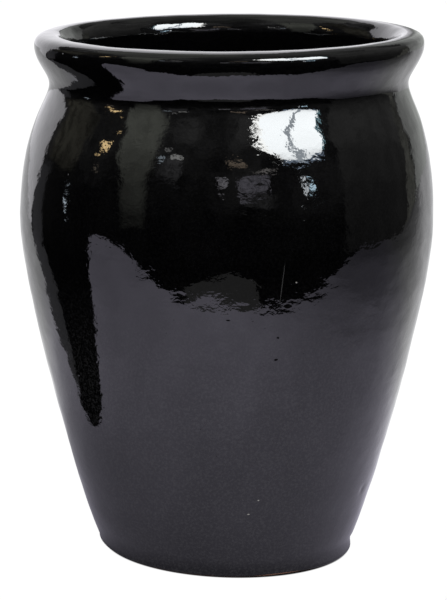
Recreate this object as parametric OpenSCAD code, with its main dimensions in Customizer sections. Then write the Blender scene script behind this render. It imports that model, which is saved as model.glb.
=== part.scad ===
// Rolled-rim clay jar with a black gloss glaze. It is built the way a large jar is thrown: a base
// slab, three wall sections, a neck collar and a rolled rim are luted together with slip, a coil
// is pressed into the floor's corner, and two coats of glaze cover the clay down to the foot.
// Millimetres. The origin is the centre of the jar where it stands, and +Z points up its axis.

/* [Body] */
// Height from the floor to the top of the rim
jar_h = 520; // [460:1:624]
// Diameter where the jar stands
foot_d = 250; // [208:1:300]
// Lean of the wall outwards as it leaves the foot, in degrees
foot_flare = 22.7; // [15:0.1:30]
// Largest diameter
belly_d = 411; // [375:1:493]
// Height of the largest ring above the floor
belly_z = 332; // [276:1:380]

/* [Rim and neck] */
// Outer diameter of the rolled rim
rim_d = 383; // [345:1:430]
// Radial width of the roll, from its outside to the mouth
roll_w = 31.5; // [26:0.5:38]
// Radial distance from the roll's outside in to its crest
crest_in = 18; // [15:0.5:22]
// Drop from the crest to the roll's widest ring
roll_drop = 12; // [10:0.5:15]
// Drop from the crest to where the inside of the roll is narrowest
lip_drop = 18; // [12:0.5:22]
// How square the roll's outer shoulder is: 2 is an ellipse, and more is fuller
roll_full = 3; // [2:0.1:3.5]
// How far the roll stands out past the neck
overhang = 14.5; // [12:0.5:18]
// Drop from the crest to the neck's narrowest ring
neck_drop = 49; // [42:0.5:58]

/* [Walls and floor] */
// Thickness of the wall, glazed on both sides
wall_t = 13; // [10:0.5:16]
// Thickness of the base slab at its standing ring
slab_t = 16; // [13:0.5:20]
// Radius worked into the corner of the floor by the coil
coil_r = 24; // [18:1:30]
// Width of the ring that the jar stands on
stand_w = 20; // [16:1:26]
// Depth of the hollow trimmed under the base slab
trim_depth = 2.5; // [1.5:0.5:4]
// Diameter of the drain hole
drain_d = 24; // [16:1:30]

/* [Luted joints] */
// Height of the joint between the lower and the belly sections
lower_seam_z = 160; // [120:1:190]
// Height of the joint between the belly and the shoulder sections above the largest ring
upper_seam_rise = 12; // [-20:1:20]
// Drop from the neck's narrowest ring to the joint below it
neck_seam_drop = 20; // [14:1:26]
// Drop from the crest to the joint under the roll
rim_seam_drop = 27; // [24:0.5:29]
// Rise of each joint from the outside of the wall to the inside
seam_bevel = 6; // [3:0.5:8]
// Thickness of the fired slip in a joint
slip_t = 0.8; // [0.4:0.1:1.2]

/* [Glaze] */
// Thickness of a coat
glaze_t = 1.2; // [0.8:0.1:1.6]
// Height of the bare clay left above the floor
bare_foot_h = 4; // [3:0.5:8]
// Extra thickness of the roll of glaze where the outer coat stops
bead_t = 0.8; // [0.4:0.1:1.2]
// Height of that roll
bead_h = 3; // [2:0.5:5]
// Drop from the crest to the lap of the two coats inside the neck
lap_drop = 56; // [50:1:64]
// Bare clay left round the drain hole
bare_drain_w = 4; // [2:0.5:8]

/* [Hidden] */

$fn = 128;
CLAY = [0.42, 0.24, 0.17];
SLIP = [0.50, 0.30, 0.22];
BLACK = [0.03, 0.03, 0.035];
tiny = 0.001;

// Rings of the glazed outline, as radius and height
rim_r = rim_d / 2;
crest = [rim_r - crest_in, jar_h];
roll_z = jar_h - roll_drop;
neck = [rim_r - overhang, jar_h - neck_drop];
belly = [belly_d / 2, belly_z];
foot = [foot_d / 2, 0];
mouth = [rim_r - roll_w, jar_h - lip_drop];

// How far each ring pulls the curve that leaves it, as shares of the rise to the next ring
foot_pull = 0.24;
belly_pull_down = 0.152;
belly_pull_up = 0.69;
neck_pull_down = 0.13;
neck_pull_up = 0.29;
roll_pull = 0.37;

foot_edge_r = 3;

function bezier(a, b, c, d, steps) = [
    for (i = [0:steps]) let (t = i / steps, s = 1 - t)
        s * s * s * a + 3 * s * s * t * b + 3 * s * t * t * c + t * t * t * d
];
function quarter(centre, rx, rz, from, to, steps) = [
    for (i = [0:steps]) let (a = from + (to - from) * i / steps) centre + [rx * cos(a), rz * sin(a)]
];
// A rising quarter that is fuller than an ellipse
function full_quarter(centre, rx, rz, full, steps) = [
    for (i = [0:steps]) let (a = 90 * i / steps)
        centre + [rx * pow(cos(a), 2 / full), rz * pow(sin(a), 2 / full)]
];
function reversed(path) = [for (i = [len(path) - 1:-1:0]) path[i]];
function tail(path) = [for (i = [1:len(path) - 1]) path[i]];
function unit(v) = v / norm(v);

// The path moved sideways, to the left of its own direction
function shifted(path, by) = [
    for (i = [0:len(path) - 1])
        let (way = unit(path[min(i + 1, len(path) - 1)] - path[max(i - 1, 0)]))
            path[i] + by * [-way[1], way[0]]
];
// A rising path as a table from height to radius
function radius_at(path, z) = lookup(z, [for (p = path) [p[1], p[0]]]);
function point_at(path, z) = [radius_at(path, z), z];
// The stretch of a rising path between two heights
function between(path, low, high) = concat(
    [point_at(path, low)],
    [for (p = path) if (p[1] > low + tiny && p[1] < high - tiny) p],
    [point_at(path, high)]
);
function above(path, low) = concat([point_at(path, low)], [for (p = path) if (p[1] > low + tiny) p]);

// Outside of the glazed jar, rising from the foot to the crest
body_curve = bezier(
    foot,
    foot + foot_pull * belly_z * [sin(foot_flare), cos(foot_flare)] / cos(foot_flare),
    belly - [0, belly_pull_down * belly_z],
    belly, 30
);
shoulder_rise = neck[1] - belly_z;
shoulder_curve = bezier(
    belly, belly + [0, belly_pull_up * shoulder_rise],
    neck - [0, neck_pull_down * shoulder_rise], neck, 24
);
roll_rise = roll_z - neck[1];
neck_curve = bezier(
    neck, neck + [0, neck_pull_up * roll_rise],
    [rim_r, roll_z - roll_pull * roll_rise], [rim_r, roll_z], 16
);
roll_curve = full_quarter([crest[0], roll_z], crest_in, roll_drop, roll_full, 16);
wall_curve = concat(body_curve, tail(shoulder_curve));
outside = concat(wall_curve, tail(neck_curve), tail(roll_curve));

// Inside of the glazed jar, rising from the floor to the crest
inner_wall = shifted(wall_curve, wall_t);
inner_neck = inner_wall[len(inner_wall) - 1];
lip_curve = bezier(
    inner_neck, inner_neck + [0, neck_pull_up * roll_rise],
    mouth - [0, roll_pull * roll_rise], mouth, 12
);
lip_roll = quarter([crest[0], mouth[1]], roll_w - crest_in, lip_drop, 180, 90, 12);
inside = concat(inner_wall, tail(lip_curve), tail(lip_roll));

// The clay under the glaze, taken as one path from the foot over the crest to the floor
clay = shifted(concat(outside, tail(reversed(inside))), glaze_t);
crest_index = len(outside) - 1;
clay_outside = [for (i = [0:crest_index]) clay[i]];
clay_inside = [for (i = [len(clay) - 1:-1:crest_index]) clay[i]];

// The floor's corner, from the wall round to the floor, and the same corner with its glaze
corner = point_at(clay_inside, slab_t);
function corner_curve(up, side) = let (
    wall_point = point_at(up, slab_t + side + coil_r * 0.55),
    turn = point_at(up, slab_t + side),
    floor_point = [turn[0] - coil_r * 0.66, slab_t + side]
) [
    for (i = [0:12]) let (t = i / 12, s = 1 - t)
        s * s * floor_point + 2 * s * t * turn + t * t * wall_point
];
coil_face = corner_curve(clay_inside, 0);
glazed_face = corner_curve(inside, glaze_t);

// Heights of the luted joints at the outside of the wall
lower_seam = lower_seam_z;
upper_seam = belly_z + upper_seam_rise;
neck_seam = neck[1] - neck_seam_drop;
rim_seam = jar_h - rim_seam_drop;
lap_z = jar_h - lap_drop;

module turned(section) rotate_extrude() polygon(section);

// A ring of wall between two joints. Its ends slope with the joints, and leave half the slip each.
module wall_section(low, high) turned(concat(
    between(clay_outside, low + slip_t / 2, high - slip_t / 2),
    reversed(between(clay_inside, low + seam_bevel + slip_t / 2, high + seam_bevel - slip_t / 2))
));

// The film of slip in the joint at one height
module slip_ring(seam) color(SLIP) turned([
    point_at(clay_outside, seam - slip_t / 2),
    point_at(clay_outside, seam + slip_t / 2),
    point_at(clay_inside, seam + seam_bevel + slip_t / 2),
    point_at(clay_inside, seam + seam_bevel - slip_t / 2),
]);

module base_slab() {
    edge = point_at(clay_outside, foot_edge_r);
    stand_r = edge[0] - foot_edge_r;
    color(CLAY) difference() {
        turned(concat(
            [[0, trim_depth], [stand_r - stand_w - trim_depth, trim_depth], [stand_r - stand_w, 0]],
            quarter([stand_r, foot_edge_r], foot_edge_r, foot_edge_r, -90, 0, 6),
            tail(between(clay_outside, foot_edge_r, slab_t)),
            [[0, slab_t]]
        ));
        translate([0, 0, -1]) cylinder(d = drain_d, h = slab_t + 2);
    }
}

module floor_coil() color(CLAY) turned(concat(
    coil_face, reversed(between(clay_inside, slab_t + slip_t, slab_t + coil_r * 0.55 - tiny)),
    [[radius_at(clay_inside, slab_t + slip_t), slab_t]]
));

module base_slip() color(SLIP) turned([
    [radius_at(clay_inside, slab_t + slip_t), slab_t],
    point_at(clay_outside, slab_t),
    point_at(clay_outside, slab_t + slip_t),
    point_at(clay_inside, slab_t + slip_t),
]);

module lower_wall() color(CLAY) turned(concat(
    between(clay_outside, slab_t + slip_t, lower_seam - slip_t / 2),
    reversed(between(clay_inside, slab_t + slip_t, lower_seam + seam_bevel - slip_t / 2))
));

module belly_wall() color(CLAY) wall_section(lower_seam, upper_seam);

module shoulder_wall() color(CLAY) wall_section(upper_seam, neck_seam);

module neck_collar() color(CLAY) wall_section(neck_seam, rim_seam);

module rim_roll() color(CLAY) turned(concat(
    above(clay_outside, rim_seam + slip_t / 2),
    tail(reversed(above(clay_inside, rim_seam + seam_bevel + slip_t / 2)))
));

module lower_slip() slip_ring(lower_seam);
module upper_slip() slip_ring(upper_seam);
module neck_slip() slip_ring(neck_seam);
module rim_slip() slip_ring(rim_seam);

// Thickness of the outer coat at a height above its lower edge: a rounded roll that thins to the coat
function coat_at(rise) = rise < bead_h / 2
    ? (glaze_t + bead_t) * sqrt(1 - pow(1 - 2 * rise / bead_h, 2))
    : glaze_t + bead_t * exp(-pow(2 * rise / bead_h - 1, 2));

module outer_glaze() {
    bead_top = bare_foot_h + 3 * bead_h;
    bead_steps = 18;
    bead_face = [
        for (i = [1:bead_steps])
            let (z = bare_foot_h + (bead_top - bare_foot_h) * i / bead_steps, base = point_at(clay_outside, z))
                base + coat_at(z - bare_foot_h) * [cos(foot_flare), -sin(foot_flare)]
    ];
    color(BLACK) turned(concat(
        bead_face,
        [for (p = outside) if (p[1] > bead_top + 1) p],
        tail(reversed(above(inside, lap_z))),
        above(clay_inside, lap_z),
        tail(reversed(above(clay_outside, bare_foot_h)))
    ));
}

module inner_glaze() color(BLACK) turned(concat(
    [[drain_d / 2 + bare_drain_w, slab_t], [drain_d / 2 + bare_drain_w + glaze_t, slab_t + glaze_t]],
    glazed_face,
    [for (p = inside) if (p[1] > glazed_face[12][1] + tiny && p[1] < lap_z - tiny) p],
    [point_at(inside, lap_z), point_at(clay_inside, lap_z)],
    [for (p = reversed(clay_inside)) if (p[1] > coil_face[12][1] + tiny && p[1] < lap_z - tiny) p],
    reversed(coil_face)
));

base_slab();
floor_coil();
lower_wall();
belly_wall();
shoulder_wall();
neck_collar();
rim_roll();
base_slip();
lower_slip();
upper_slip();
neck_slip();
rim_slip();
outer_glaze();
inner_glaze();
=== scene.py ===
"""Looks of the black-glazed clay jar: turned clay pieces, luting slip and two coats of mirror glaze."""

import math

import bpy
import numpy as np
from mathutils import Matrix, Vector


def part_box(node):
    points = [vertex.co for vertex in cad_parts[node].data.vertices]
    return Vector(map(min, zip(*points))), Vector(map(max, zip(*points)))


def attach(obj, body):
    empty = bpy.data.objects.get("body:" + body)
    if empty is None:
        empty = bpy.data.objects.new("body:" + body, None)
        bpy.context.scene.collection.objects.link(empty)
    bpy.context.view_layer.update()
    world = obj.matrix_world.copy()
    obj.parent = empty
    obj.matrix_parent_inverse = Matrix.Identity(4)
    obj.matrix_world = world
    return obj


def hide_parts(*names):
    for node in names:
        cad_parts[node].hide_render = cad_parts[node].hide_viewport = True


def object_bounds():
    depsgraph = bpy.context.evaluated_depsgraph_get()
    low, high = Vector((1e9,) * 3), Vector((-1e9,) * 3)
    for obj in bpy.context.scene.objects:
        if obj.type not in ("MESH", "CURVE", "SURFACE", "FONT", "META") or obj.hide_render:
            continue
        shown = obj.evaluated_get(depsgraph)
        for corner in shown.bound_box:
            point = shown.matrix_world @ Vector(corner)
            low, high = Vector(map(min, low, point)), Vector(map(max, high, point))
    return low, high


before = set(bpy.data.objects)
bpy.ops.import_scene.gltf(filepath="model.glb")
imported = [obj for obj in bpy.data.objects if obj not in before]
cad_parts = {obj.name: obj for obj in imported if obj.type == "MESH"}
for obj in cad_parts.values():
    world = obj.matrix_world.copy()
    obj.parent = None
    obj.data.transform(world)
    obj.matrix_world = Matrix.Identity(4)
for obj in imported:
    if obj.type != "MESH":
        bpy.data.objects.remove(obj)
CAD_BOUNDS = [list(corner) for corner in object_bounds()]

MM = 0.001
# How many columns each turned piece has around the jar
COLUMNS = 288
# An outline that turns by more than this has a corner there, in degrees
CORNER_DEG = 28.0
SEED = 20

JAR_H = CAD_BOUNDS[1][2]
FOOT_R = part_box("base_slab")[1][0]
GLAZE_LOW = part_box("outer_glaze")[0][2]


def smooth(low, high, x):
    """0 below low, 1 above high, and a smooth step between them."""
    t = np.clip((x - low) / (high - low), 0.0, 1.0)
    return t * t * (3.0 - 2.0 * t)


# ---------------------------------------------------------------- sections of the CAD pieces


def section(node):
    """The closed outline of a turned CAD piece in the half plane y = 0, x > 0, as rows of (r, z)."""
    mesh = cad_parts[node].data
    links = {}
    for edge in mesh.edges:
        ends = [mesh.vertices[i].co for i in edge.vertices]
        if all(abs(c.y) < 1e-7 and c.x > 0 for c in ends):
            a, b = ((round(c.x, 6), round(c.z, 6)) for c in ends)
            if a != b:
                links.setdefault(a, set()).add(b)
                links.setdefault(b, set()).add(a)
    start = min(links, key=lambda p: (p[1], -p[0]))
    path, last = [start], None
    while True:
        ahead = sorted(p for p in links[path[-1]] if p != last)
        last = path[-1]
        if ahead[0] == start and len(path) > 2:
            break
        path.append(ahead[0])
    loop = np.array(path)
    area = np.sum(loop[:, 0] * np.roll(loop[:, 1], -1) - np.roll(loop[:, 0], -1) * loop[:, 1])
    return loop if area > 0 else loop[::-1]


def corners(loop, limit_deg):
    """Indices of the points where the outline turns by more than the limit."""
    before = loop - np.roll(loop, 1, axis=0)
    after = np.roll(loop, -1, axis=0) - loop
    turn = np.degrees(np.arctan2(before[:, 0] * after[:, 1] - before[:, 1] * after[:, 0],
                                 np.sum(before * after, axis=1)))
    return np.flatnonzero(np.abs(turn) > limit_deg)


def spline(points, spacing_at):
    """Points along a natural cubic through the given points, spaced as spacing_at(z) asks.

    Both ends are kept."""
    h = np.linalg.norm(np.diff(points, axis=0), axis=1)
    knots = np.concatenate([[0], np.cumsum(h)])
    n = len(points)
    system = np.eye(n)
    right = np.zeros((n, 2))
    for i in range(1, n - 1):
        system[i, i - 1:i + 2] = h[i - 1], 2 * (h[i - 1] + h[i]), h[i]
        right[i] = 6 * ((points[i + 1] - points[i]) / h[i] - (points[i] - points[i - 1]) / h[i - 1])
    bend = np.linalg.solve(system, right)
    steps = np.linspace(0, knots[-1], 2000)
    need = np.cumsum(1 / spacing_at(np.interp(steps, knots, points[:, 1]))) * steps[1]
    count = max(1, int(math.ceil(need[-1])))
    s = np.interp(np.linspace(need[0], need[-1], count + 1), need, steps)
    k = np.clip(np.searchsorted(knots, s, side="right") - 1, 0, n - 2)
    a = ((knots[k + 1] - s) / h[k])[:, None]
    b = 1 - a
    hh = (h[k] ** 2 / 6)[:, None]
    return a * points[k] + b * points[k + 1] + ((a ** 3 - a) * bend[k] + (b ** 3 - b) * bend[k + 1]) * hh


def resampled(loop, spacing_of):
    """The outline in finer steps: rows (r, z), whether each is a corner, and the run that it belongs to."""
    marks = list(corners(loop, CORNER_DEG))
    rows, sharp, runs = [], [], []
    for n, start in enumerate(marks):
        end = marks[(n + 1) % len(marks)]
        span = (end - start) % len(loop) or len(loop)
        points = loop[(start + np.arange(span + 1)) % len(loop)]
        fine = spline(points, spacing_of(points))
        rows.append(fine[:-1])
        sharp += [True] + [False] * (len(fine) - 2)
        runs += [n] * (len(fine) - 1)
    return np.concatenate(rows), np.array(sharp), np.array(runs)


# ---------------------------------------------------------------- the hand of the potter


def waves(seed, length, flatten, count=28):
    """A smooth random field of unit variance.

    Its features are about one length across, and longer around the jar by flatten."""
    rng = np.random.default_rng(SEED + seed)
    way = rng.normal(size=(count, 3))
    way /= np.linalg.norm(way, axis=1)[:, None]
    way *= (2 * math.pi / length) * rng.uniform(0.7, 1.4, size=(count, 1))
    way[:, :2] /= flatten
    phase = rng.uniform(0, 2 * math.pi, size=count)

    def field(points):
        total = np.zeros(len(points))
        for k, p in zip(way, phase):
            total += np.cos(points @ k + p)
        return total * math.sqrt(2.0 / count)

    return field


# The jar leans to the left, and its rim drops to the left and a little to the front
LEAN = math.radians(1.45)
RIM_TILT = math.radians(2.05)
RIM_BACK = math.radians(0.4)
# The neck stands a little to the right of the lean
BOW = 1.3 * MM
# The edge of the foot is worn away by this much at this side
WORN = 3.3 * MM
WORN_SIDE = math.radians(190)
# How fast the wall widens upward from the foot
FLARE = math.tan(math.radians(22.7))

slow_swell = waves(1, 0.26, 1.0)
hand_marks = waves(2, 0.085, 1.6)
throwing = waves(3, 0.045, 6.0)
glaze_run = waves(4, 0.030, 1.4)
glaze_skin = waves(5, 0.013, 2.0, 40)


def hand_warp(points):
    """The uneven form that every piece shares, so that neighbours stay in contact."""
    p = points.copy()
    r = np.hypot(p[:, 0], p[:, 1])
    out = p[:, :2] / np.maximum(r, 1e-9)[:, None]
    angle = np.arctan2(p[:, 1], p[:, 0])
    z = points[:, 2]
    free = smooth(0.03, 0.16, z)
    facing = 0.15 + 0.85 * np.sin(angle) ** 2
    swell = 0.8 * MM * slow_swell(points * [1, 1, 0.7]) * free * facing
    marks = 0.16 * MM * hand_marks(points) * free
    p[:, :2] += out * (swell + marks)[:, None]
    p[:, 2] += (points[:, 0] * math.tan(RIM_TILT) + points[:, 1] * math.tan(RIM_BACK)) * smooth(0.10, 0.45, z)
    p[:, 0] += BOW * smooth(0.40, 0.50, z) - math.tan(LEAN) * z
    worn = (0.5 + 0.5 * np.cos(angle - WORN_SIDE)) ** 18
    edge = smooth(FOOT_R - 22 * MM, FOOT_R - 6 * MM, r) * (1 - smooth(0, 30 * MM, z))
    p[:, 2] += WORN * worn * edge
    p[:, :2] += out * (WORN * FLARE * worn * edge)[:, None]
    p[:, 2] = np.maximum(p[:, 2], 0.0)
    return p


# ---------------------------------------------------------------- node helpers


def material(name):
    mat = bpy.data.materials.new(name)
    mat.use_nodes = True
    tree = mat.node_tree
    tree.nodes.clear()
    out = tree.nodes.new("ShaderNodeOutputMaterial")
    return mat, tree, out


def put(tree, n, **values):
    """Sets or links inputs, named with underscores for spaces."""
    for key, value in values.items():
        socket = n.inputs[key.replace("_", " ")]
        if isinstance(value, bpy.types.NodeSocket):
            tree.links.new(value, socket)
        else:
            socket.default_value = value
    return n


def noise(tree, coords, scale, detail=3.0, roughness=0.5, distortion=0.0):
    n = tree.nodes.new("ShaderNodeTexNoise")
    put(tree, n, Vector=coords, Scale=scale, Detail=detail, Roughness=roughness, Distortion=distortion)
    return n.outputs["Fac"]


def ramp(tree, value, *stops):
    n = tree.nodes.new("ShaderNodeValToRGB")
    elements = n.color_ramp.elements
    while len(elements) < len(stops):
        elements.new(0.5)
    for e, (at, colour) in zip(elements, stops):
        e.position = at
        e.color = (*colour, 1.0) if len(colour) == 3 else colour
    put(tree, n, Fac=value)
    return n.outputs["Color"]


def grey(level):
    return (level, level, level)


def maths(tree, operation, *values, clamp=False):
    n = tree.nodes.new("ShaderNodeMath")
    n.operation = operation
    n.use_clamp = clamp
    for i, value in enumerate(values):
        if isinstance(value, bpy.types.NodeSocket):
            tree.links.new(value, n.inputs[i])
        else:
            n.inputs[i].default_value = value
    return n.outputs[0]


def mapped(tree, value, low, high, to_low=0.0, to_high=1.0):
    n = tree.nodes.new("ShaderNodeMapRange")
    n.interpolation_type = "SMOOTHSTEP"
    put(tree, n, Value=value, From_Min=low, From_Max=high, To_Min=to_low, To_Max=to_high)
    return n.outputs["Result"]


def mixed(tree, factor, a, b):
    n = tree.nodes.new("ShaderNodeMix")
    n.data_type = "RGBA"
    for socket, value in ((n.inputs[0], factor), (n.inputs[6], a), (n.inputs[7], b)):
        if isinstance(value, bpy.types.NodeSocket):
            tree.links.new(value, socket)
        elif isinstance(value, tuple):
            socket.default_value = (*value, 1.0)
        else:
            socket.default_value = value
    return n.outputs[2]


def bump(tree, height, distance, strength=1.0, below=None):
    n = tree.nodes.new("ShaderNodeBump")
    put(tree, n, Height=height, Distance=distance, Strength=strength)
    if below is not None:
        put(tree, n, Normal=below)
    return n.outputs["Normal"]


# ---------------------------------------------------------------- materials of the jar


# Small faults on the front of the glaze: x and z of the middle, half width, half height and slant
PITS = [(0.051, 0.286, 0.0036, 0.0028, 0), (0.043, 0.255, 0.0013, 0.0012, 0),
        (0.042, 0.233, 0.0018, 0.0014, 0.2), (-0.004, 0.272, 0.0020, 0.0008, 0)]
GRITS = [(0.058, 0.309, 0.0007, 0.0007, 0), (0.031, 0.086, 0.0009, 0.0007, 0),
         (0.022, 0.071, 0.0011, 0.0006, 0)]
HAIR = [(0.0450, 0.308, 0.0004, 0.020, 0.085)]
# How steeply the floor of a pit leans back, which turns it to the dark of the room
PIT_LEAN = 0.25


def faults(tree, coords, marks):
    """1 inside any of the marks and 0 outside, and the height above the middle of the mark inside it."""
    place = tree.nodes.new("ShaderNodeSeparateXYZ")
    put(tree, place, Vector=coords)
    ragged = maths(tree, "MULTIPLY_ADD", noise(tree, coords, 500.0, 1.0), 0.0010, -0.0005)
    total, lift = 0.0, 0.0
    front = mapped(tree, place.outputs["Y"], -0.02, 0.0, 1.0, 0.0)
    for x, z, across, up, slant in marks:
        rise = maths(tree, "SUBTRACT", place.outputs["Z"], z)
        aside = maths(tree, "SUBTRACT", place.outputs["X"], x)
        aside = maths(tree, "SUBTRACT", aside, maths(tree, "MULTIPLY", rise, slant))
        if across > 0.001:
            aside = maths(tree, "ADD", aside, ragged)
        reach = maths(tree, "ADD", maths(tree, "POWER", maths(tree, "DIVIDE", aside, across), 2.0),
                      maths(tree, "POWER", maths(tree, "DIVIDE", rise, up), 2.0))
        inside = mapped(tree, reach, 0.6, 1.3, 1.0, 0.0)
        total = maths(tree, "MAXIMUM", total, inside)
        lift = maths(tree, "MULTIPLY_ADD", inside, rise, lift)
    return maths(tree, "MULTIPLY", total, front), maths(tree, "MULTIPLY", lift, front)


def glaze_material(name, marked):
    """Black mirror glaze: orange peel, pinholes, dust specks, and a brown break where it thins."""
    mat, tree, out = material(name)
    coords = tree.nodes.new("ShaderNodeTexCoord").outputs["Object"]
    depth = noise(tree, coords, 14.0, 4.0, 0.6)
    colour = ramp(tree, depth, (0.30, (0.0005, 0.0005, 0.0006)), (0.70, (0.0012, 0.0011, 0.0014)))
    low = tree.nodes.new("ShaderNodeSeparateXYZ")
    put(tree, low, Vector=coords)
    uneven = maths(tree, "MULTIPLY", noise(tree, coords, 90.0, 3.0), 0.003)
    ragged = maths(tree, "ADD", low.outputs["Z"], uneven)
    thin = mapped(tree, ragged, GLAZE_LOW - 0.0022, GLAZE_LOW - 0.0004, 1.0, 0.0)
    colour = mixed(tree, maths(tree, "MULTIPLY", thin, 0.7), colour, (0.045, 0.017, 0.008))
    # dust and grit caught in the surface
    grit = tree.nodes.new("ShaderNodeTexVoronoi")
    put(tree, grit, Vector=coords, Scale=70.0)
    grit_size = maths(tree, "MULTIPLY", noise(tree, coords, 9.0, 2.0), 0.055)
    speck = mapped(tree, maths(tree, "SUBTRACT", grit.outputs["Distance"], grit_size), 0.0, 0.02, 1.0, 0.0)
    rare = mapped(tree, noise(tree, coords, 31.0, 1.0), 0.62, 0.66)
    speck = maths(tree, "MULTIPLY", speck, rare)
    colour = mixed(tree, maths(tree, "MULTIPLY", speck, 0.5), colour, (0.075, 0.072, 0.070))
    # a film of fine dust, thicker low on the jar
    dust = mapped(tree, noise(tree, coords, 420.0, 2.0, 0.7), 0.38, 0.70)
    dust = maths(tree, "MULTIPLY", dust, mapped(tree, low.outputs["Z"], 0.18, 0.32, 0.22, 0.03))
    colour = mixed(tree, dust, colour, (0.065, 0.065, 0.068))
    if marked:
        (_, pits), (grits, _), (hair, _) = (faults(tree, coords, marks) for marks in (PITS, GRITS, HAIR))
        colour = mixed(tree, maths(tree, "MULTIPLY", grits, 0.5), colour, (0.42, 0.41, 0.38))
        colour = mixed(tree, maths(tree, "MULTIPLY", hair, 0.3), colour, (0.10, 0.10, 0.10))
    smear = noise(tree, coords, 24.0, 5.0, 0.65)
    rough = maths(tree, "ADD", mapped(tree, smear, 0.42, 0.78, 0.018, 0.075),
                  maths(tree, "MULTIPLY", speck, 0.35))
    # fine relief
    banded = tree.nodes.new("ShaderNodeVectorMath")
    banded.operation = "MULTIPLY"
    tree.links.new(coords, banded.inputs[0])
    banded.inputs[1].default_value = (0.75, 0.75, 1.0)
    peel = noise(tree, coords, 330.0, 2.0, 0.5)
    ripple = noise(tree, banded.outputs[0], 125.0, 2.5, 0.55, 0.4)
    pit = tree.nodes.new("ShaderNodeTexVoronoi")
    put(tree, pit, Vector=coords, Scale=120.0)
    hole = maths(tree, "MULTIPLY", mapped(tree, pit.outputs["Distance"], 0.0, 0.10, 1.0, 0.0),
                 mapped(tree, noise(tree, coords, 47.0, 1.0), 0.64, 0.68))
    normal = bump(tree, ripple, 0.00016)
    normal = bump(tree, peel, 0.00003, below=normal)
    normal = bump(tree, maths(tree, "MULTIPLY", hole, -1.0), 0.0005, below=normal)
    normal = bump(tree, speck, 0.00015, below=normal)
    shader = tree.nodes.new("ShaderNodeBsdfPrincipled")
    if marked:
        normal = bump(tree, maths(tree, "MULTIPLY", pits, -PIT_LEAN), 1.0, below=normal)
    put(tree, shader, Base_Color=colour, Roughness=rough, Normal=normal)
    shader.inputs["IOR"].default_value = 1.55
    tree.links.new(shader.outputs[0], out.inputs["Surface"])
    return mat


def clay_material(name, dark, light, grit_height):
    """Fired earthenware: gritty, mottled by the fire, with turning lines and pale grog."""
    mat, tree, out = material(name)
    coords = tree.nodes.new("ShaderNodeTexCoord").outputs["Object"]
    fire = noise(tree, coords, 11.0, 4.0, 0.6)
    fine = noise(tree, coords, 160.0, 5.0, 0.7)
    colour = ramp(tree, maths(tree, "MULTIPLY_ADD", fine, 0.45, maths(tree, "MULTIPLY", fire, 0.6)),
                  (0.25, dark), (0.80, light))
    grog = tree.nodes.new("ShaderNodeTexVoronoi")
    put(tree, grog, Vector=coords, Scale=420.0)
    grain = mapped(tree, grog.outputs["Distance"], 0.12, 0.30, 1.0, 0.0)
    some = mapped(tree, noise(tree, coords, 300.0, 1.0), 0.56, 0.60)
    grain = maths(tree, "MULTIPLY", grain, some)
    colour = mixed(tree, maths(tree, "MULTIPLY", grain, 0.55), colour, (0.50, 0.36, 0.26))
    lines = tree.nodes.new("ShaderNodeTexWave")
    lines.wave_type = "RINGS"
    lines.rings_direction = "Z"
    put(tree, lines, Vector=coords, Scale=95.0, Distortion=1.5, Detail=2.0)
    normal = bump(tree, lines.outputs["Fac"], 0.00025)
    normal = bump(tree, fine, grit_height, below=normal)
    normal = bump(tree, grain, 0.0002, below=normal)
    rough = mapped(tree, fine, 0.3, 0.7, 0.72, 0.95)
    shader = tree.nodes.new("ShaderNodeBsdfPrincipled")
    put(tree, shader, Base_Color=colour, Roughness=rough, Normal=normal)
    shader.inputs["IOR"].default_value = 1.45
    tree.links.new(shader.outputs[0], out.inputs["Surface"])
    return mat


GLAZE_OUT = glaze_material("black_glaze_outside", True)
GLAZE_IN = glaze_material("black_glaze_inside", False)
CLAY = clay_material("fired_clay", (0.075, 0.028, 0.016), (0.23, 0.092, 0.050), 0.0004)
SLIP = clay_material("fired_slip", (0.15, 0.062, 0.035), (0.37, 0.17, 0.10), 0.0002)


# ---------------------------------------------------------------- turned pieces


def glaze_relief(points, weight):
    """How far the glaze swells and pits above the clay, in metres."""
    depth = 0.09 * MM * throwing(points) + 0.05 * MM * glaze_run(points) + 0.034 * MM * glaze_skin(points)
    return depth * weight


# The inside is rougher than the outside by this factor
ROUGH_INSIDE = 1.9
# Angle around the jar and height of a small dent
DENT = (math.radians(-25), 76 * MM)
# The glaze hangs in a drip about this angle, and leaves more clay bare about the other
DRIP_SIDE = math.radians(-20)
BARE_SIDE = math.radians(-62)


def glaze_foot(points):
    """The glaze line wanders above the floor and hangs in a thick drip at one side, below a dent."""
    p = points.copy()
    angle = np.arctan2(p[:, 1], p[:, 0])
    out = p[:, :2] / np.hypot(p[:, 0], p[:, 1])[:, None]
    rise = p[:, 2] - GLAZE_LOW
    wander = 0.5 + 0.5 * np.sin(3 * angle + 0.4) * np.cos(angle - 0.3)
    bare = np.exp(-(((angle - BARE_SIDE) / math.radians(16)) ** 2))
    drop = -MM * ((3.3 + 0.4 * wander) * (1 - bare) + 1.8 * bare)
    near = 1 - smooth(0, 30 * MM, rise)
    p[:, 2] += drop * near
    slide = drop * near * FLARE
    drip = np.exp(-(((angle - DRIP_SIDE) / math.radians(30)) ** 4))
    bulge = 2.9 * MM * drip * np.exp(-(((rise - 2.5 * MM) / (4.0 * MM)) ** 2))
    groove = -1.0 * MM * drip * np.exp(-(((rise - 12 * MM) / (3.0 * MM)) ** 2))
    dent = np.hypot((angle - DENT[0]) * 0.15, p[:, 2] - DENT[1]) / (4.5 * MM)
    p[:, :2] += out * (slide + bulge + groove - 0.8 * MM * np.exp(-dent ** 2))[:, None]
    return p


def even(spacing):
    """The same spacing at every height."""
    return lambda z: np.full_like(z, spacing)


def by_height(foot, body, rim):
    """A spacing for the foot, one for the body and one for the neck and rim."""
    return lambda z: np.where(z < 14 * MM, foot, np.where(z < 0.43, body, rim))


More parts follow.
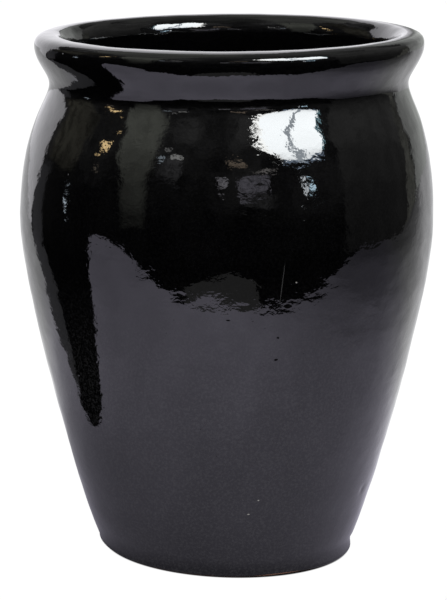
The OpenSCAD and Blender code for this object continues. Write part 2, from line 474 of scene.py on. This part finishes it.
def turned(name, cad, mat, spacing, exposed=None, contact_spacing=None):
    """A CAD piece turned again in finer steps, with the potter's unevenness."""
    loop = section(cad)

    def spacing_of(points):
        return spacing if exposed is None or exposed(points) else contact_spacing

    rows, sharp, runs = resampled(loop, spacing_of)
    count = len(rows)
    way = np.roll(rows, -1, axis=0) - np.roll(rows, 1, axis=0)
    way /= np.linalg.norm(way, axis=1)[:, None]
    normal = np.stack([way[:, 1], -way[:, 0]], axis=1)
    weight = np.zeros(count)
    if exposed is not None:
        for run in set(runs):
            mine = np.flatnonzero(runs == run)
            if exposed(rows[mine]):
                arc = np.cumsum(np.linalg.norm(np.diff(rows[mine], axis=0, prepend=rows[mine][:1]), axis=1))
                weight[mine] = smooth(0, 4 * MM, arc) * smooth(0, 4 * MM, arc[-1] - arc)
        weight *= np.where(normal[:, 0] < -0.2, ROUGH_INSIDE, 1.0)
    angles = np.arange(COLUMNS) * 2 * math.pi / COLUMNS
    c, s = np.cos(angles), np.sin(angles)
    points = np.stack([np.outer(rows[:, 0], c), np.outer(rows[:, 0], s),
                       np.repeat(rows[:, 1:], COLUMNS, axis=1)], axis=2).reshape(-1, 3)
    if weight.any():
        out = np.stack([np.outer(normal[:, 0], c), np.outer(normal[:, 0], s),
                        np.repeat(normal[:, 1:], COLUMNS, axis=1)], axis=2).reshape(-1, 3)
        points = points + out * glaze_relief(points, np.repeat(weight, COLUMNS))[:, None]
    if cad == "outer_glaze":
        points = glaze_foot(points)
    points = hand_warp(points)
    i = np.arange(count)[:, None]
    j = np.arange(COLUMNS)[None, :]
    i2, j2 = (i + 1) % count, (j + 1) % COLUMNS
    quads = np.stack([i * COLUMNS + j, i * COLUMNS + j2, i2 * COLUMNS + j2, i2 * COLUMNS + j], axis=2)
    mesh = bpy.data.meshes.new(name)
    mesh.from_pydata(points.tolist(), [], quads.reshape(-1, 4).tolist())
    mesh.polygons.foreach_set("use_smooth", [True] * len(mesh.polygons))
    mesh.update()
    sharp_rows = set(np.flatnonzero(sharp))
    ends = np.empty(2 * len(mesh.edges), dtype=int)
    mesh.edges.foreach_get("vertices", ends)
    row_of = ends.reshape(-1, 2) // COLUMNS
    flags = [bool(a == b and a in sharp_rows) for a, b in row_of]
    mesh.attributes.new("sharp_edge", "BOOLEAN", "EDGE").data.foreach_set("value", flags)
    piece = bpy.data.objects.new(name, mesh)
    bpy.context.scene.collection.objects.link(piece)
    mesh.materials.append(mat)
    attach(piece, "root")
    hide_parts(cad)
    return piece


def is_outer_face(points):
    """Whether a stretch of the outer glaze's outline is its outer face, which alone reaches the crest."""
    return np.max(points[:, 1]) > JAR_H - 0.3 * MM


INNER_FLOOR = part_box("inner_glaze")[0][2]


def is_inner_face(points):
    """Whether a stretch of the inner glaze's outline is the face that shows."""
    return len(points) > 20 and np.min(points[:, 1]) > INNER_FLOOR + 0.5 * MM


turned("jar_base_slab", "base_slab", CLAY, even(3.0 * MM))
turned("jar_floor_coil", "floor_coil", CLAY, even(3.0 * MM))
for part in ("lower_wall", "belly_wall", "shoulder_wall", "neck_collar", "rim_roll"):
    turned("jar_" + part, part, CLAY, even(4.0 * MM))
for part in ("base_slip", "lower_slip", "upper_slip", "neck_slip", "rim_slip"):
    turned("jar_" + part, part, SLIP, even(3.0 * MM))
turned("jar_outer_glaze", "outer_glaze", GLAZE_OUT, by_height(0.8 * MM, 2.8 * MM, 1.8 * MM),
       is_outer_face, by_height(4 * MM, 12 * MM, 4 * MM))
turned("jar_inner_glaze", "inner_glaze", GLAZE_IN, even(3.0 * MM), is_inner_face, even(8.0 * MM))

# ---------------------------------------------------------------- studio

CENTRE = Vector((0, 0, 0.30))


def mesh_object(name, points, faces, mat):
    """A mesh with one material, put in the scene."""
    mesh = bpy.data.meshes.new(name)
    mesh.from_pydata([tuple(p) for p in points], [], faces)
    mesh.materials.append(mat)
    obj = bpy.data.objects.new(name, mesh)
    bpy.context.scene.collection.objects.link(obj)
    return obj


def reflected_only(obj):
    """Seen in the glaze and not by the camera."""
    obj.visible_camera = False
    obj.visible_diffuse = False
    obj.visible_shadow = False
    obj.visible_transmission = False


def room_light(name, colour, vary, scale, streaks=0.0):
    """Light whose strength and cover come with the mesh, so that the edges of a patch can fade or tear."""
    mat, tree, out = material(name)
    place = tree.nodes.new("ShaderNodeNewGeometry").outputs["Position"]
    carried = {}
    for key in ("level", "cover"):
        reader = tree.nodes.new("ShaderNodeAttribute")
        reader.attribute_name = key
        carried[key] = reader.outputs["Fac"]
    shape = mapped(tree, noise(tree, place, scale / 10, 3.0), 0.35, 0.65, 1 - vary, 1.0)
    light = tree.nodes.new("ShaderNodeEmission")
    put(tree, light, Color=(*colour, 1.0), Strength=maths(tree, "MULTIPLY", carried["level"], shape))
    clear = tree.nodes.new("ShaderNodeBsdfTransparent")
    cover = carried["cover"]
    if streaks:
        long = tree.nodes.new("ShaderNodeVectorMath")
        long.operation = "MULTIPLY"
        tree.links.new(place, long.inputs[0])
        long.inputs[1].default_value = (0.14, 0.14, 0.75)
        torn = maths(tree, "MULTIPLY_ADD", noise(tree, long.outputs[0], 1.0, 2.0), streaks, -0.5 * streaks)
        cover = mapped(tree, maths(tree, "ADD", cover, torn), 0.42, 0.58)
    choice = tree.nodes.new("ShaderNodeMixShader")
    tree.links.new(cover, choice.inputs[0])
    tree.links.new(clear.outputs[0], choice.inputs[1])
    tree.links.new(light.outputs[0], choice.inputs[2])
    tree.links.new(choice.outputs[0], out.inputs["Surface"])
    return mat


def room_patch(name, rows, colour, fade=(0.0, 0.0), radius=60, vary=0.0, scale=2.0, streaks=0.0):
    """A stretch of the room as the glaze sees it.

    Each row is an elevation, the azimuths of its left and right ends and its strength, in degrees from
    the camera's side of the jar, right positive. The sides and the ends fade over the two fade angles,
    and streaks tears them into long shreds. vary is how far the light dims in clouds of the given scale."""
    rows = np.array(rows, dtype=float)
    side, end = fade
    widest = np.max(rows[:, 2] - rows[:, 1])
    inner = np.linspace(0.0, 1.0, max(2, int(widest / 3) + 1))
    heights = set(rows[:, 0]) | set(np.arange(rows[0, 0], rows[-1, 0], 2.5))
    if end:
        heights |= {rows[0, 0] + end, rows[-1, 0] - end}
    heights = sorted(heights)
    points, level, cover = [], [], []
    for e in heights:
        left, right, strength = (np.interp(e, rows[:, 0], rows[:, k]) for k in (1, 2, 3))
        across = left + side + (right - left - 2 * side) * inner
        shown = np.ones(len(across))
        if side:
            across = np.concatenate([[left], across, [right]])
            shown = np.concatenate([[0.0], shown, [0.0]])
        if end:
            shown = shown * min(1.0, (e - heights[0]) / end, (heights[-1] - e) / end)
        a, b = np.radians(across), math.radians(e)
        ray = [np.sin(a) * math.cos(b), -np.cos(a) * math.cos(b), np.full(len(a), math.sin(b))]
        points += list(np.array(CENTRE) + radius * np.stack(ray, axis=1))
        level += [strength] * len(across)
        cover += list(shown)
    wide = len(points) // len(heights)
    faces = [(r * wide + c, r * wide + c + 1, (r + 1) * wide + c + 1, (r + 1) * wide + c)
             for r in range(len(heights) - 1) for c in range(wide - 1)]
    obj = mesh_object(name, points, faces, room_light(name + "_light", colour, vary, scale, streaks))
    for key, values in (("level", level), ("cover", cover)):
        obj.data.attributes.new(key, "FLOAT", "POINT").data.foreach_set("value", values)
    reflected_only(obj)
    return obj


def plain(az, el, level):
    """Rows of an even rectangle."""
    return [(el[0], *az, level), (el[1], *az, level)]


def floor_patch(name, outline, z, mat):
    """A flat outline lying at the jar's feet that only the glaze sees."""
    obj = mesh_object(name, [(x, y, z) for x, y in outline], [tuple(range(len(outline)))], mat)
    reflected_only(obj)
    return obj


# The pale paper that the jar stands on, as the glaze sees it, from the front edge round by the left
PAPER = [
    (0.05, -0.69), (-0.20, -0.665), (-0.36, -0.64), (-0.55, -0.71), (-0.70, -0.64), (-0.80, -0.75),
    (-1.00, -0.86), (-1.45, -1.00), (-1.95, -0.92), (-2.10, -0.60), (-1.62, -0.42), (-0.95, -0.28),
    (-0.60, -0.17), (-0.38, -0.09), (-0.35, -0.03), (-0.43, 0.06), (-0.56, 0.18), (-0.70, 0.35),
    (-0.84, 0.48), (-0.90, 0.60), (-1.25, 1.05), (-1.70, 1.90), (-2.4, 3.6), (-4.0, 6.0), (6.0, 6.0),
    (4.2, 2.4), (3.0, 1.3), (2.5, 0.6), (2.3, 0.0), (2.2, -0.60), (1.10, -0.55), (0.80, -0.53),
    (0.60, -0.585), (0.40, -0.64), (0.20, -0.67),
]


# The near levels of the paper are shares of the first number, and the second sets how bright it all is
PAPER_FULL = 1.3
PAPER_STRENGTH = 1.17
# Middle of the painted shade of the jar on the paper, behind and to the left of its foot
PAPER_SHADE_MIDDLE = (-0.20, 0.14, 0.0)


def paper_material():
    """Bright in front of the jar, shaded near its foot and dimmer on the right."""
    mat, tree, out = material("paper_light")
    position = tree.nodes.new("ShaderNodeNewGeometry").outputs["Position"]
    place = tree.nodes.new("ShaderNodeSeparateXYZ")
    put(tree, place, Vector=position)
    away = tree.nodes.new("ShaderNodeVectorMath")
    away.operation = "LENGTH"
    tree.links.new(position, away.inputs[0])
    # painted shade of the jar close around its foot, with the paper brightest about half a metre out
    near = ramp(tree, away.outputs["Value"], *[(r, grey(level / PAPER_FULL)) for r, level in (
        (0.121, 0.03), (0.130, 0.30), (0.145, 0.56), (0.20, 0.73), (0.35, 0.94), (0.50, 1.12),
        (0.65, 1.15), (0.85, 1.05), (1.0, 1.02))])
    behind = maths(tree, "MAXIMUM", place.outputs["Y"], 0.0)
    aside = maths(tree, "MULTIPLY_ADD", behind, -0.9, place.outputs["X"])
    across = maths(tree, "MULTIPLY_ADD", aside, 0.4, 0.4)
    side = ramp(tree, across, *[(0.4 + 0.4 * x, grey(level)) for x, level in (
        (-1.0, 0.82), (-0.5, 0.84), (-0.1, 1.0), (0.1, 0.97), (0.3, 0.80), (0.5, 0.66), (0.7, 0.53),
        (0.85, 0.36), (1.2, 0.28), (1.5, 0.20))])
    front = mapped(tree, place.outputs["Y"], -0.65, -0.30, 1.12, 1.0)
    # painted shade of the jar on the paper, darkest behind and to the left of its foot
    corner = tree.nodes.new("ShaderNodeVectorMath")
    corner.operation = "DISTANCE"
    tree.links.new(position, corner.inputs[0])
    corner.inputs[1].default_value = PAPER_SHADE_MIDDLE
    front = maths(tree, "MULTIPLY", front, mapped(tree, corner.outputs["Value"], 0.08, 0.42, 0.50, 1.0))
    cloud = mapped(tree, noise(tree, position, 5.0, 3.0), 0.3, 0.7, 0.93, 1.07)
    strength = maths(tree, "MULTIPLY", near, side)
    strength = maths(tree, "MULTIPLY", strength, maths(tree, "MULTIPLY", front, cloud))
    colour = mixed(tree, mapped(tree, place.outputs["Y"], -0.1, 0.6), (1.0, 0.955, 1.17), (1.0, 1.0, 1.02))
    light = tree.nodes.new("ShaderNodeEmission")
    put(tree, light, Color=colour, Strength=maths(tree, "MULTIPLY", strength, PAPER_STRENGTH))
    tree.links.new(light.outputs[0], out.inputs["Surface"])
    return mat


def flat_light(name, colour, strength):
    """An even light of one colour."""
    mat, tree, out = material(name)
    light = tree.nodes.new("ShaderNodeEmission")
    put(tree, light, Color=(*colour, 1.0), Strength=strength)
    tree.links.new(light.outputs[0], out.inputs["Surface"])
    return mat


floor_patch("paper", PAPER, -0.0006, paper_material())
floor_patch("grey_patch", [(-0.28, -0.67), (-0.23, -0.86), (-0.10, -0.95), (0.10, -1.00), (0.20, -0.90),
                           (0.21, -0.67)], -0.001, flat_light("grey_patch_light", (1.0, 1.0, 1.0), 0.21))
floor_patch("paper_edge", [(-0.42, 0.04), (-0.90, 0.62), (-1.25, 1.06), (-1.42, 0.98), (-1.02, 0.42),
                           (-0.66, 0.12)], -0.001, flat_light("paper_edge_light", (1.0, 1.0, 1.08), 0.13))

PALE = (0.97, 1.0, 0.97)
BLUE = (0.84, 0.97, 1.10)
AMBER = (1.0, 0.72, 0.36)

# the two white backdrops at the sides of the jar, and the grey wall and the curtain further forward
room_patch("backdrop_left", [(-14, -185, -139, 0.95), (-8, -185, -135, 1.2), (-2, -185, -127.5, 1.28),
                             (4, -185, -126, 1.32), (11, -185, -124, 1.40), (17, -185, -121, 1.40),
                             (25, -185, -134, 1.40), (33, -185, -150, 1.40), (47, -185, -166, 1.4)],
           (0.985, 0.975, 1.02), (2.0, 0.0), 66)
room_patch("edge_left", [(-16, -138, -123, 0.12), (-6, -134, -119, 0.12), (3, -128, -116, 0.12)],
           (1.0, 1.0, 1.08), (2.0, 2.0), 67)
room_patch("backdrop_right", [(-12, 127, 176, 0.72), (-4, 127, 176, 0.70), (4, 129, 176, 0.72),
                              (12, 129, 176, 0.66), (20, 132, 176, 0.55), (30, 140, 176, 0.30)],
           PALE, (3.0, 0.0), 66, 0.2, 0.8)
room_patch("right_strip", [(-9, 112, 128, 0.36), (-4, 117, 128, 0.30), (5, 120, 129, 0.32),
                           (12, 122, 130, 0.20), (20, 122, 133, 0.22)],
           (0.99, 1.0, 0.90), (1.5, 1.5), 64, 0.4, 4.0)
room_patch("grey_wall", [(-10, 67, 128, 0.05), (0, 67, 128, 0.08), (10, 67, 130, 0.13), (20, 67, 134, 0.20),
                         (30, 67, 140, 0.28), (47, 67, 150, 0.26)],
           (1.0, 1.0, 0.98), (2.0, 0.0), 65, 0.25, 1.2)
room_patch("curtain", [(-6, -61, -45, 0.03), (0, -61, -44, 0.14), (4, -61, -44, 0.26), (10, -62, -44, 0.40),
                       (16, -66, -44, 0.46), (20, -69, -44, 0.64), (24, -70, -44, 0.76), (29, -72, -44, 0.84),
                       (34, -72, -43, 0.84), (46, -74, -40, 0.66)],
           (0.96, 1.0, 0.88), (4.0, 2.0), 63, 0.25, 1.5)
room_patch("shelf", [(10, -43, -28, 0.14), (16, -43, -28, 0.32), (20, -43, -28, 0.38), (25, -43, -28, 0.16)],
           (1.0, 1.0, 1.04), (3.0, 2.0), 62, 0.6, 2.0)
room_patch("left_wall", [(3, -124, -94, 0.05), (10, -123, -94, 0.20), (18, -119, -92, 0.25),
                         (30, -112, -86, 0.14), (44, -112, -86, 0.20)],
           (1.0, 0.96, 0.78), (4.0, 2.0), 64, 0.6, 1.6)
room_patch("ceiling_back", [(46, -185, -40, 0.52), (60, -185, -40, 0.56), (75, -185, -40, 0.48),
                            (88, -185, -40, 0.40)], (0.98, 1.0, 0.93), (14.0, 0.0), 70, 0.3, 0.6)
room_patch("ceiling_right", [(50, 80, 178, 0.20), (60, 80, 178, 0.34), (75, 80, 178, 0.32),
                             (88, 80, 178, 0.32)],
           (0.98, 1.0, 0.96), (14.0, 4.0), 71, 0.3, 0.6)
room_patch("ceiling_front", [(46, -42, 82, 0.12), (60, -42, 82, 0.20), (75, -42, 82, 0.34),
                             (88, -42, 82, 0.36)],
           (0.98, 1.0, 0.95), (10.0, 3.0), 72, 0.4, 0.6)

# the window, with its bar, and the small bright things in the room
room_patch("window", [(20.5, 39, 58.5, 12.0), (22, 33, 59.5, 14.0), (25, 29, 61, 17.5), (28, 25.5, 62, 19.0),
                      (34, 21.5, 62.5, 20.0), (46, 19, 62.5, 20.5)], (0.97, 1.01, 1.03), (0.8, 0.8), 56)
room_patch("window_streaks", [(22, 28, 56, 14.0), (26, 19, 52, 17.0), (31, 11, 48, 20.0), (38, 9, 48, 20.0),
                              (47, 8, 46, 20.0)], (0.99, 1.0, 0.98), (16.0, 1.0), 58, streaks=1.8)
room_patch("window_glow", [(19.0, 35, 60, 3.5), (21.5, 31, 61, 3.5)], (0.75, 0.95, 1.25), (2.0, 1.2), 57)
room_patch("window_edge", [(22, 59, 61.5, 4.0), (28, 61.5, 64, 4.0), (44, 62, 64.5, 4.0)],
           (0.55, 0.95, 1.10), (1.2, 0.8), 57)
room_patch("window_bar", [(20, 44, 48.5, 5.0), (23, 43.5, 48.5, 5.0), (26, 42.5, 47.0, 5.0),
                          (28.5, 41, 43.5, 5.0), (31, 39, 43, 5.0), (34, 38, 43, 5.0), (38, 37.5, 42, 5.0),
                          (40, 38.5, 41.5, 5.0), (46, 38.8, 41.2, 5.0)], (0.90, 1.0, 1.10), (0.7, 0.0), 55)
room_patch("lamp_right", [(8.8, 46.5, 50.5, 5.0), (11, 46, 51, 13.0), (12.9, 46, 51, 10.0)],
           (0.72, 1.0, 1.20), (1.0, 0.8), 56, 0.6, 6.0)
room_patch("lamp_right_bar", plain((43.2, 45.2), (7.8, 13.0), 9.0), (0.94, 1.0, 1.06), (0.7, 0.6), 56)
room_patch("lamp_left", [(-6.0, -101, -97, 4.0), (-3.4, -100.5, -96, 5.5)], BLUE, (1.2, 0.7), 56)
room_patch("lamp_left_top", plain((-98.5, -96.5), (-0.6, 0.5), 2.5), BLUE, (0.8, 0.4), 56)
room_patch("amber_top", [(28.5, -76, -73.5, 7.0), (30.5, -78, -75, 7.0)], AMBER, (0.9, 0.8), 56)
room_patch("amber_mid", [(15.8, -82, -79, 7.0), (18.2, -81, -77.5, 9.0)], AMBER, (0.9, 0.6), 56)
room_patch("amber_bright", [(20.6, -80.5, -75.5, 11.0), (23.8, -80, -75, 11.0)], AMBER, (1.0, 0.7), 56)
room_patch("amber_low", plain((-80.5, -77.0), (9.5, 12.5), 0.9), (1.0, 0.85, 0.68), (0.8, 0.8), 56)
room_patch("blue_low", plain((-43.8, -39.8), (19.5, 22.5), 2.6), BLUE, (0.8, 0.8), 56)
room_patch("blue_mid", plain((-36.5, -29.5), (21.8, 24.4), 2.8), (1.0, 1.0, 0.98), (0.8, 0.8), 56)
room_patch("blue_high", plain((-40.8, -38.4), (26.4, 29.2), 1.4), (1.0, 1.0, 1.0), (0.6, 0.6), 56)
room_patch("amber_front", [(20.5, -1, 11, 1.3), (24.8, -3, 9, 1.9)],
           (1.0, 0.80, 0.62), (1.2, 1.0), 56, 0.4, 6.0)
room_patch("amber_side", [(15.5, 18, 31, 1.8), (18.5, 10, 28, 1.8)],
           (1.0, 0.95, 0.93), (2.0, 1.0), 56, 0.7, 5.0)
room_patch("faint_left", plain((-8, -0.5), (10.5, 14.2), 2.0), (1.0, 0.97, 1.07), (1.0, 1.0), 56, 0.5, 5.0)
room_patch("faint_right", [(8.5, 6, 24, 0.9), (14.8, 4, 26, 1.2)],
           (1.0, 0.97, 1.14), (1.5, 1.5), 56, 0.5, 4.0)
room_patch("faint_under", plain((8, 28), (3.5, 9.5), 0.24), (1.0, 1.0, 1.02), (3.0, 2.0), 58, 0.6, 3.0)

world = bpy.data.worlds.new("room")
bpy.context.scene.world = world
world.use_nodes = True
sky = world.node_tree
sky.nodes.clear()
ray_kind = sky.nodes.new("ShaderNodeLightPath").outputs["Is Glossy Ray"]
toward = sky.nodes.new("ShaderNodeTexCoord").outputs["Generated"]
height = sky.nodes.new("ShaderNodeSeparateXYZ")
put(sky, height, Vector=toward)
# the room behind the camera is nearly black low down and dim grey higher up
gloom = ramp(sky, maths(sky, "MULTIPLY_ADD", height.outputs["Z"], 0.5, 0.5),
             (0.35, grey(0.003)), (0.50, grey(0.012)), (0.56, grey(0.035)), (0.64, grey(0.060)),
             (0.74, grey(0.085)), (0.79, grey(0.15)), (0.83, grey(0.22)))
lumps = mapped(sky, noise(sky, toward, 3.2, 6.0, 0.62), 0.35, 0.70, 0.35, 2.0)
clutter = sky.nodes.new("ShaderNodeBackground")
put(sky, clutter, Color=gloom, Strength=lumps)
surround = sky.nodes.new("ShaderNodeBackground")
surround.inputs["Color"].default_value = (1.0, 1.0, 1.0, 1.0)
sky_choice = sky.nodes.new("ShaderNodeMixShader")
sky.links.new(ray_kind, sky_choice.inputs[0])
sky.links.new(surround.outputs[0], sky_choice.inputs[1])
sky.links.new(clutter.outputs[0], sky_choice.inputs[2])
world_out = sky.nodes.new("ShaderNodeOutputWorld")
sky.links.new(sky_choice.outputs[0], world_out.inputs["Surface"])


# The shade of the foot lies a little to the right, where the foot is not worn
SHADE_CENTRE = (2.5 * MM, -1.0 * MM, 0.0)


def floor_material():
    """A white studio floor that burns out to white, with the shade of the jar's foot on it."""
    mat, tree, out = material("studio_floor")
    place = tree.nodes.new("ShaderNodeNewGeometry")
    away = tree.nodes.new("ShaderNodeVectorMath")
    away.operation = "DISTANCE"
    tree.links.new(place.outputs["Position"], away.inputs[0])
    away.inputs[1].default_value = SHADE_CENTRE
    glow = mapped(tree, away.outputs["Value"], FOOT_R - 6.5 * MM, FOOT_R - 4.0 * MM, 0.0, 0.985)
    light = tree.nodes.new("ShaderNodeEmission")
    put(tree, light, Strength=glow)
    paint = tree.nodes.new("ShaderNodeBsdfDiffuse")
    put(tree, paint, Color=(0.05, 0.05, 0.05, 1.0))
    both = tree.nodes.new("ShaderNodeAddShader")
    tree.links.new(light.outputs[0], both.inputs[0])
    tree.links.new(paint.outputs[0], both.inputs[1])
    clear = tree.nodes.new("ShaderNodeBsdfTransparent")
    choice = tree.nodes.new("ShaderNodeMixShader")
    tree.links.new(place.outputs["Backfacing"], choice.inputs[0])
    tree.links.new(both.outputs[0], choice.inputs[1])
    tree.links.new(clear.outputs[0], choice.inputs[2])
    tree.links.new(choice.outputs[0], out.inputs["Surface"])
    return mat


REACH = 30.0
FLOOR_Z = -0.4 * MM
floor = mesh_object("floor", [(-REACH, -REACH, FLOOR_Z), (REACH, -REACH, FLOOR_Z), (REACH, REACH, FLOOR_Z),
                              (-REACH, REACH, FLOOR_Z)], [(0, 1, 2, 3)], floor_material())
floor.visible_glossy = False
floor.visible_diffuse = False


def soft_light(name, place, size, watts):
    """A square lamp that faces the jar and doesn't show in the glaze."""
    data = bpy.data.lights.new(name, "AREA")
    data.size = size
    data.energy = watts
    lamp = bpy.data.objects.new(name, data)
    lamp.location = place
    lamp.rotation_euler = (CENTRE - Vector(place)).to_track_quat("-Z", "Y").to_euler()
    lamp.visible_glossy = False
    bpy.context.scene.collection.objects.link(lamp)


soft_light("key", (1.6, -1.6, 2.2), 1.2, 14.0)

# ---------------------------------------------------------------- camera

camera_data = bpy.data.cameras.new("camera")
camera_data.sensor_width = 36.0
camera_data.lens = 152.66
camera = bpy.data.objects.new("camera", camera_data)
bpy.context.scene.collection.objects.link(camera)
bpy.context.scene.camera = camera
# Degrees that the camera looks down and is turned about its own axis, and where it stands
PITCH = 11.703
ROLL = 1.9
CAMERA_AT = (-0.0089, -2.5036, 0.7688)
camera.matrix_world = (
    Matrix.Translation(CAMERA_AT)
    @ Matrix.Rotation(math.radians(90 - PITCH), 4, "X")
    @ Matrix.Rotation(math.radians(ROLL), 4, "Z")
)
bpy.context.scene.view_settings.view_transform = "Standard"
